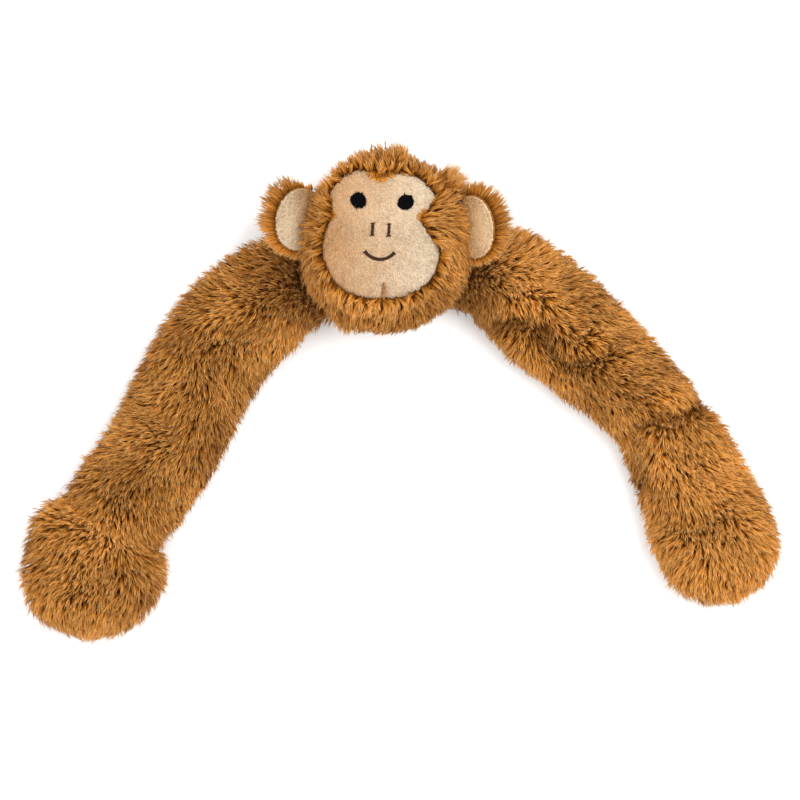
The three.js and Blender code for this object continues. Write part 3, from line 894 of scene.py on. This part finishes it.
# The peach is painted paler on the right half of the face, as painted light from the lamp side, and deeper
# on its left, as painted shade. It is deepest in the ears, darkening towards the head as painted shade in
# each cup.
face_velour = velour_finish("face_velour", (0.53, 0.285, 0.108), (0.66, 0.565, 0.43), -0.045, 0.012)
ear_velours = {
    "left": velour_finish("left_ear_velour", (0.33, 0.16, 0.045), (0.66, 0.53, 0.37), -0.060, -0.072),
    "right": velour_finish("right_ear_velour", (0.42, 0.19, 0.045), (0.80, 0.60, 0.37), 0.040, 0.055),
}


def ground(piece, tone):
    """The knitted ground under the nap, all of one tone."""
    data = piece.data.attributes.new("tone", "FLOAT", "POINT").data
    data.foreach_set("value", np.full(len(piece.data.vertices), tone, np.float32))


NAP = 1.8 * MM
NAP_RADIUS = 0.32 * MM
NAP_ROOT = 0.25 * MM


def nap(name, roots, normals, comb, seed, material):
    """The velour's own short pile, leaning the way it is stroked."""
    rng = np.random.default_rng(seed)
    count = len(roots)
    ways = np.array(comb) + rng.normal(0, 0.45, (count, 3))
    ways = unit(ways - normals * (ways * normals).sum(-1, keepdims=True))
    length = NAP * rng.uniform(0.75, 1.25, (count, 1, 1))
    t = SPOTS[None, :, None]
    path = (roots[:, None] - normals[:, None] * NAP_ROOT
            + normals[:, None] * length * 0.45 * np.sin(t * math.pi / 2)
            + ways[:, None] * length * 0.85 * t ** 1.2)
    sides = unit(np.cross(normals, ways))
    tones = 0.5 + 0.33 * rng.normal(size=count) + 0.12 * drift(roots, 9 * MM, seed)
    return strand_mesh(name, path, np.full(count, NAP_RADIUS), sides, tones, material)


EDGE_TURN = 1.5 * MM
rings, around = 60, 200
share = np.linspace(0.0, 1.0, rings + 1)[1:] ** 0.85
angle = np.linspace(0, 2 * math.pi, around, endpoint=False)
share_grid, angle_grid = np.meshgrid(share, angle, indexing="ij")
grid = face_surface(share_grid, angle_grid)
middle = face_surface(np.array([0.0]), np.array([0.0]))
inner = grid[-1] - UP * EDGE_TURN
points = np.concatenate([grid.reshape(-1, 3), inner, middle, middle - UP * 10 * MM])
quads, triangles = tube_faces(rings + 1, around, (rings + 1) * around, (rings + 1) * around + 1)
face = mesh_object("face_patch_velour", points, quads, triangles, face_velour)
ground(face, 0.35)
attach(face, "head")
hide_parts("face_patch")

NAP_COUNT = 7500
index = np.arange(NAP_COUNT) + 0.5
angle = index * math.pi * (3 - math.sqrt(5))
share = np.sqrt(index / NAP_COUNT) * 0.985
place = face_surface(share, angle)
step = 0.3 * MM
ahead = face_surface(share, angle + step / np.maximum(share * face_radius(angle), step)) - place
outwards = face_surface(share + 0.005, angle) - place
normals = unit(np.cross(outwards, ahead))
face_nap = nap("face_patch_nap", place, normals, (0.55, -0.85, 0), 43, face_velour)
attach(face_nap, "head")

# ---------------------------------------------------------------- embroidery
# Eyes, nostrils and mouth are satin stitch: short threads laid side by side straight into the
# velour, black for the eyes and dark brown for the rest.

THREAD = 0.24 * MM
THREAD_PITCH = 0.42 * MM
THREAD_LIFT = 0.3 * MM


def face_normal(points):
    """On the velour at x, y in the face's own frame: the place and the way out of it."""
    x = points[..., 0] + FACE_SHIFT
    y = points[..., 1]
    step = 0.5 * MM
    rise_x = face_height(x + step, y, FACE_DEPTH) - face_height(x - step, y, FACE_DEPTH)
    rise_y = face_height(x, y + step, FACE_DEPTH) - face_height(x, y - step, FACE_DEPTH)
    slope_x, slope_y = rise_x / (2 * step), rise_y / (2 * step)
    normal = unit(np.stack([-slope_x, -slope_y, np.ones_like(x)], -1))
    angle = np.arctan2(y, points[..., 0])
    share = np.hypot(points[..., 0], y) / face_radius(angle)
    return face_surface(share, angle), normal


def stitches(name, starts, ends, crown, material, seed):
    """Threads from start to end over the velour, each a tube that rises and dips at its ends."""
    rng = np.random.default_rng(seed)
    sides, steps = 6, 9
    points, quads, triangles = [], [], []
    for start, end in zip(starts, ends):
        t = np.linspace(0, 1, steps)
        line = start + (end - start) * t[:, None]
        place, normal = face_normal(line)
        arch = np.sqrt(np.maximum(1 - (2 * t - 1) ** 2, 0)) * crown * rng.uniform(0.85, 1.1)
        path = place + normal * (arch + THREAD_LIFT)[:, None]
        ahead = unit(np.gradient(path, axis=0))
        across = unit(np.cross(ahead, normal))
        third = np.cross(across, ahead)
        thick = THREAD * rng.uniform(0.9, 1.1)
        base = sum(len(block) for block in points)
        ring = [path + (across * math.cos(a) + third * math.sin(a)) * thick
                for a in np.linspace(0, 2 * math.pi, sides, endpoint=False)]
        block = np.concatenate([np.stack(ring, 1).reshape(-1, 3), path[:1], path[-1:]])
        ring_quads, ring_triangles = tube_faces(steps, sides, steps * sides, steps * sides + 1)
        points.append(block)
        quads.append(ring_quads + base)
        triangles.append(ring_triangles + base)
    points, quads, triangles = [np.concatenate(blocks) for blocks in (points, quads, triangles)]
    return mesh_object(name, points, quads, triangles, material)


def thread_finish(name, dark, light):
    thread = Finish(name, 0.8, specular=0.02)
    twist = thread.noise(2600, 1, (1, 2.5, 1))
    thread.set("Base Color", thread.mix(twist, dark, light))
    thread.bump(twist, 0.0002)
    return thread.material


black_thread = thread_finish("black_thread", (0.0005, 0.0005, 0.0008, 1), (0.005, 0.005, 0.006, 1))
brown_thread = thread_finish("brown_thread", (0.022, 0.009, 0.005, 1), (0.075, 0.036, 0.022, 1))


def sewn(piece, node):
    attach(piece, "head")
    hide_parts(node)


EYE_RADIUS = 5.0 * MM
EYE_SPACING = 30 * MM
EYE_HEIGHT = 25 * MM
EYE_CROWN = 1.1 * MM
EYE_LEAN = 0.12
for side, sign in (("left", -1), ("right", 1)):
    rng = np.random.default_rng(7 + sign)
    across = np.arange(-EYE_RADIUS + 0.3 * MM, EYE_RADIUS, THREAD_PITCH * 0.8)
    half = np.sqrt(EYE_RADIUS**2 - across**2)
    centre = np.array([sign * EYE_SPACING / 2, EYE_HEIGHT])
    lean = EYE_LEAN * sign
    starts, ends = [], []
    for shift, reach in zip(across, half):
        over, under = (rng.uniform(-0.3, 0.4, 2) + 0.9 * (rng.uniform(0, 1, 2) > 0.86)) * MM
        starts.append(centre + [shift - lean * reach, -(reach + under)])
        ends.append(centre + [shift + lean * reach, reach + over])
    starts, ends = np.array(starts), np.array(ends)
    eye = stitches(f"eye_{side}_stitches", starts, ends, EYE_CROWN, black_thread, 71 + sign)
    sewn(eye, f"eye_{side}")

NOSTRIL_SPACING = 10.4 * MM
NOSTRIL_HEIGHT = 6.6 * MM
NOSTRIL_LENGTH = 8.8 * MM
NOSTRIL_CROWN = 0.7 * MM
for side, sign in (("left", -1), ("right", 1)):
    rng = np.random.default_rng(17 + sign)
    up = np.arange(-NOSTRIL_LENGTH / 2, NOSTRIL_LENGTH / 2, THREAD_PITCH)
    flare = 0.78 + 0.60 * smooth(np.abs(up), 0.36 * NOSTRIL_LENGTH, 0.46 * NOSTRIL_LENGTH)
    half = flare * rng.uniform(0.85, 1.15, len(up)) * MM
    across = sign * NOSTRIL_SPACING / 2 + rng.normal(0, 0.1, len(up)) * MM
    middle = np.stack([across, NOSTRIL_HEIGHT + up], -1)
    reach = np.stack([half, rng.normal(0.1, 0.1, len(up)) * MM], -1)
    starts, ends = middle - reach, middle + reach
    nostril = stitches(f"nostril_{side}_stitches", starts, ends, NOSTRIL_CROWN, brown_thread, 81)
    sewn(nostril, f"nostril_{side}")

MOUTH_WIDTH = 18.6 * MM
MOUTH_SAG = 4.6 * MM
MOUTH_HEIGHT = -8 * MM
MOUTH_CROWN = 0.75 * MM
radius = (MOUTH_WIDTH**2 / 4 + MOUTH_SAG**2) / (2 * MOUTH_SAG)
spread = math.asin(MOUTH_WIDTH / 2 / radius)
rng = np.random.default_rng(27)
turn = np.arange(-spread, spread, THREAD_PITCH / radius)
smile = np.stack([radius * np.sin(turn), MOUTH_HEIGHT - MOUTH_SAG + radius * (1 - np.cos(turn))], -1)
out = np.stack([np.sin(turn), -np.cos(turn)], -1)
flare = 0.92 + 0.5 * smooth(np.abs(turn) / spread, 0.90, 0.98)
reach = out * (flare * rng.uniform(0.88, 1.12, len(turn)) * MM)[:, None]
mouth = stitches("mouth_stitches", smile - reach, smile + reach, MOUTH_CROWN, brown_thread, 91)
sewn(mouth, "mouth")

# ---------------------------------------------------------------- ears
# Each ear is a D-shaped flap: fur fabric behind, a cupped lining of the face's velour in front,
# sewn into the side seam of the head, with the long pile fringing out round the lining.

# How far each ear has folded forwards, in degrees, and the room its fringe takes.
EAR_FOLDS = {"left": 14, "right": 30}
EAR_FRINGES = {"left": 7.5 * MM, "right": 8 * MM}

# How far round the top the fringe goes, in half turns, its length in millimetres, how much
# longer it grows towards the top, and how much of that each ear loses at the very top.
EAR_TOPS = {"left": 0.58, "right": 0.75}
EAR_PILES = {"left": 10, "right": 9.5}
EAR_TUFT = 2.5
EAR_TOP_TRIMS = {"left": 5.5, "right": 0}


class Ear:
    """One flap: half an ellipse outwards from its root, and a shallow half tucked under the pile."""

    TUCK = 8 * MM
    CUP = 3.5 * MM

    def __init__(self, side):
        self.side = side
        name = f"ear_fold_{side}"
        self.root = pivot(name)
        self.out = outward(name)
        self.up = unit(np.cross(UP, self.out)) * (1 if side == "right" else -1)
        points = cad_points(f"ear_{side}_back") - self.root
        self.reach = (points @ self.out).max() - EAR_FRINGES[side]
        self.half = np.abs(points @ self.up).max() - 0.3 * MM
        self.fold = math.radians(EAR_FOLDS[side])

    def place(self, share, angle, level):
        """share runs from the middle of the flap to its rim, angle round it, level through it."""
        inner = -self.TUCK * np.abs(np.cos(angle)) ** 0.45
        out = np.where(np.cos(angle) > 0, self.reach * np.cos(angle), inner) * share
        high = self.half * share * np.sin(angle)
        lift = level - 2 * MM + self.CUP * share ** 2
        out, lift = (out * math.cos(self.fold) - lift * math.sin(self.fold),
                     out * math.sin(self.fold) + lift * math.cos(self.fold))
        return (self.root + self.out * out[..., None] + self.up * high[..., None]
                + UP * lift[..., None])

    def flap(self, name, margin, bottom, top, material):
        """A closed cupped pad between two levels, rounded at its rim."""
        rings, around = 14, 72
        angle = np.linspace(0, 2 * math.pi, around, endpoint=False)
        half_turn = np.linspace(0, math.pi, rings)
        share = np.sin(half_turn) ** 0.6 * (1 - margin)
        level = (bottom + top) / 2 + (top - bottom) / 2 * np.cos(half_turn)
        share[0] = share[-1] = 0.02
        share_grid, angle_grid = np.meshgrid(share, angle, indexing="ij")
        grid = self.place(share_grid, angle_grid, np.repeat(level[:, None], around, 1))
        points = np.concatenate([grid.reshape(-1, 3), grid[0].mean(0)[None], grid[-1].mean(0)[None]])
        quads, triangles = tube_faces(rings, around, rings * around, rings * around + 1)
        if self.side == "left":
            quads, triangles = quads[:, ::-1], triangles[:, ::-1]
        return mesh_object(name, points, quads, triangles, material)


FRINGE_TUFTS = 640
RIM_TUFTS = 280


def ear_fringe(ear):
    """Roots of the pile round the rim and over the back of an ear, with their combs."""
    rng = np.random.default_rng(61 + (ear.side == "right"))
    share = np.sqrt(rng.uniform(0.15, 1.0, FRINGE_TUFTS)) * 0.97
    share[:RIM_TUFTS] = rng.uniform(0.90, 0.99, RIM_TUFTS)
    angle = rng.uniform(-0.75 * math.pi, EAR_TOPS[ear.side] * math.pi, FRINGE_TUFTS)
    level = np.where(share > 0.85, -1.0 * MM, -2.4 * MM)
    place = ear.place(share, angle, level)
    radial = ear.out * (np.cos(angle) * 0.8)[:, None] + ear.up * np.sin(angle)[:, None]
    radial = unit(radial + ear.out * 0.45 + np.array([0, 0.25, 0]))
    rim = smooth(share, 0.8, 0.95)[:, None]
    normal = unit(-UP * (1 - 0.9 * rim) + UP * 0.12 * rim + radial * rim * 0.5)
    upper = smooth(angle, 0, 0.3 * math.pi) * EAR_TUFT
    upper = upper - EAR_TOP_TRIMS[ear.side] * smooth(angle, 0.25 * math.pi, 0.5 * math.pi)
    pile = EAR_PILES[ear.side] - 4.5 * np.sin(angle) ** 2 + upper
    return place, normal, radial, pile * MM


EAR_NAP_COUNT = 2200
for side in ("left", "right"):
    ear = Ear(side)
    back = ear.flap(f"ear_{side}_pad", 0.0, -2.0 * MM, 1.0 * MM, backing.material)
    lining = ear.flap(f"ear_{side}_velour", 0.04, 0.4 * MM, 2.4 * MM, ear_velours[side])
    ground(lining, 0.35)
    rng = np.random.default_rng(64)
    share = np.sqrt(rng.uniform(0, 1, EAR_NAP_COUNT)) * 0.95
    angle = rng.uniform(-math.pi, math.pi, EAR_NAP_COUNT)
    place = ear.place(share, angle, 2.3 * MM)
    ear_nap = nap(f"ear_{side}_nap", place, np.tile(UP, (EAR_NAP_COUNT, 1)),
                  ear.out * 0.6 - ear.up * 0.5, 65, ear_velours[side])
    roots, normals, combs, pile = ear_fringe(ear)
    fringe = grow(f"ear_{side}_pile", roots, normals, combs, 62, pile=pile, rise=0.3, lie=0.95, shade=0.56)
    for piece, node, slot in ((back, "back", "fur"), (lining, "lining", "velour"),
                              (ear_nap, "lining", "velour"), (fringe, "back", "fur")):
        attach(piece, f"ear_{side}")
        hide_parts(f"ear_{side}_{node}")

# ---------------------------------------------------------------- pile of the head
# The same long pile on the head. It is brushed away from the face and down the cheeks, stands
# up in a tuft on the crown, and laps over the seam into the notches of the face.

HEAD_TUFTS = 5400


def inside_face(place, margin):
    """Whether a place lies within the face's outline, widened by a margin."""
    local = place - head_centre
    along, over = math.cos(-HEAD_TILT), math.sin(-HEAD_TILT)
    x = local[..., 0] * along - local[..., 1] * over - FACE_SHIFT
    y = local[..., 0] * over + local[..., 1] * along
    angle = np.arctan2(y, x)
    return (np.hypot(x, y) < face_radius(angle) + margin) & (local[..., 2] > 0)


def head_comb(place, normal):
    """Away from the face, and down towards the cheeks and the back."""
    focus = head_frame(np.array([FACE_SHIFT, 6 * MM, 30 * MM]))
    away = unit(place - focus)
    local = place - head_centre
    down = np.array([0, -1.0, 0]) * smooth(-local[:, 1], -20 * MM, 10 * MM)[:, None]
    rise = np.array([0, 1.0, 0]) * smooth(local[:, 1], 30 * MM, 50 * MM)[:, None]
    way = away + 0.7 * down + 0.3 * rise + np.array([0, 0, -0.25])
    swirl = 0.35 * drift(place, 60 * MM, 51, 1)[:, None]
    way = way + np.cross(normal, way) * swirl
    return unit(way - normal * (way * normal).sum(-1, keepdims=True))


index = np.arange(HEAD_TUFTS) + 0.5
tall = np.arccos(1 - 2 * index / HEAD_TUFTS)
wide = math.pi * (1 + math.sqrt(5)) * index
rng = np.random.default_rng(3)
ways = np.stack([np.sin(tall) * np.cos(wide), np.sin(tall) * np.sin(wide), np.cos(tall)], -1)
ways = unit(ways + rng.normal(0, 0.012, ways.shape))
place, normal = head_tangents(ways, HEAD_DEPTH)
kept = ~inside_face(place, 0.2 * MM) & (place[:, 2] > 5 * MM)
front = ways[:, 2] > -0.05

# The pile is trimmed shorter under the chin and over the right brow.
for panel, chosen in (("front", kept & front), ("back", kept & ~front)):
    roots, normals = place[chosen], normal[chosen]
    local = roots - head_centre
    chin = smooth(-local[:, 1], 30 * MM, 52 * MM) * (1 - 0.8 * smooth(-local[:, 0], 8 * MM, 22 * MM))
    brow = smooth(local[:, 1], 30 * MM, 44 * MM) * np.exp(-((local[:, 0] - 18 * MM) / (13 * MM)) ** 2)
    trimmed = 12 * MM - 4.5 * MM * chin - 3.5 * MM * brow
    strands = 5 if panel == "front" else 4
    piece = grow(f"head_{panel}_pile", roots, normals, head_comb(roots, normals),
                 300 + (panel == "back"), pile=trimmed, shade=0.42, strands=strands)
    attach(piece, "head")
    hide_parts(f"head_{panel}_cover")


def edge_tufts(name, angles, ways, numbers, pile, seed, rise=0.30, level=2.2 * MM, width=0.11):
    """Tufts rooted on the face's seam, at these angles round it, that lie over the velour."""
    rng = np.random.default_rng(seed)
    roots, combs = [], []
    for angle, way, number in zip(angles, ways, numbers):
        at = angle + rng.uniform(-width, width, number)
        share = rng.uniform(0.98, 1.05, number)
        roots.append(face_surface(share, at) + UP * level)
        turn = way + rng.normal(0, 0.35, number)
        combs.append(np.stack([np.cos(turn), np.sin(turn), np.zeros(number)], -1))
    roots = np.concatenate(roots)
    combs = np.concatenate(combs)
    normals = np.broadcast_to(UP, roots.shape)
    piece = grow(name, roots, normals, combs, seed, pile=pile, rise=rise, shade=0.50, wander=0.3)
    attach(piece, "head")


notches = [math.atan2(15.5, 25), math.atan2(14.5, -31)]
edge_tufts("notch_pile", notches, [math.pi - 0.1, -0.1], [26, 22], 4 * MM, 401, width=0.07)
brows = [math.pi / 2 - 0.03, math.pi / 2 + 0.10]
inwards = [-math.pi / 2 + 0.4, -math.pi / 2 - 0.4]
edge_tufts("brow_pile", brows, inwards, [30, 30], 6.5 * MM, 402)
ring = np.arange(-math.pi, math.pi, 0.035)
outwards = ring - 0.25 * np.cos(ring)
edge_tufts("seam_pile", ring, outwards, [1] * len(ring), 11 * MM, 404, rise=0.45, level=0.8 * MM)


def standing_tuft(name, way, comb, count, pile, seed):
    """A patch of pile that stands up from the rest of the head."""
    rng = np.random.default_rng(seed)
    ways = unit(np.array(way) + rng.normal(0, 0.06, (count, 3)))
    roots, normals = head_tangents(ways, HEAD_DEPTH)
    combs = unit(np.array(comb) + rng.normal(0, 0.30, roots.shape))
    piece = grow(name, roots, normals, combs, seed, pile=pile, rise=0.3, lie=0.75, shade=0.56)
    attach(piece, "head")


standing_tuft("crown_tuft", (0.08, 0.90, 0.26), (0.1, 1.0, 0.2), 50, 13.5 * MM, 405)
standing_tuft("temple_tuft", (0.70, 0.70, 0.10), (0.75, 0.75, 0.1), 110, 16 * MM, 406)
standing_tuft("chin_tuft", (-0.42, -0.88, 0.05), (-0.15, -1.0, 0), 70, 10 * MM, 407)

# The dart under the chin shows a thin wedge of the fur that is sewn into it.
DART_TUFTS = 60
rng = np.random.default_rng(408)
down = np.linspace(0, 1, DART_TUFTS)
x = DART_SIDE + rng.normal(0, 0.45, DART_TUFTS) * MM * down
y = DART_TOP - 3 * MM - 9 * MM * down
angle = np.arctan2(y, x)
roots = face_surface(np.hypot(x, y) / face_radius(angle), angle)
down_way = np.tile([0.05, -1.0, 0.0], (DART_TUFTS, 1))
dart_pile = grow("dart_pile", roots, np.tile(UP, (DART_TUFTS, 1)), down_way, 409, pile=3 * MM,
                 rise=0.45, strands=3, shade=0.05, wander=0.1, gather=0.25)
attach(dart_pile, "head")
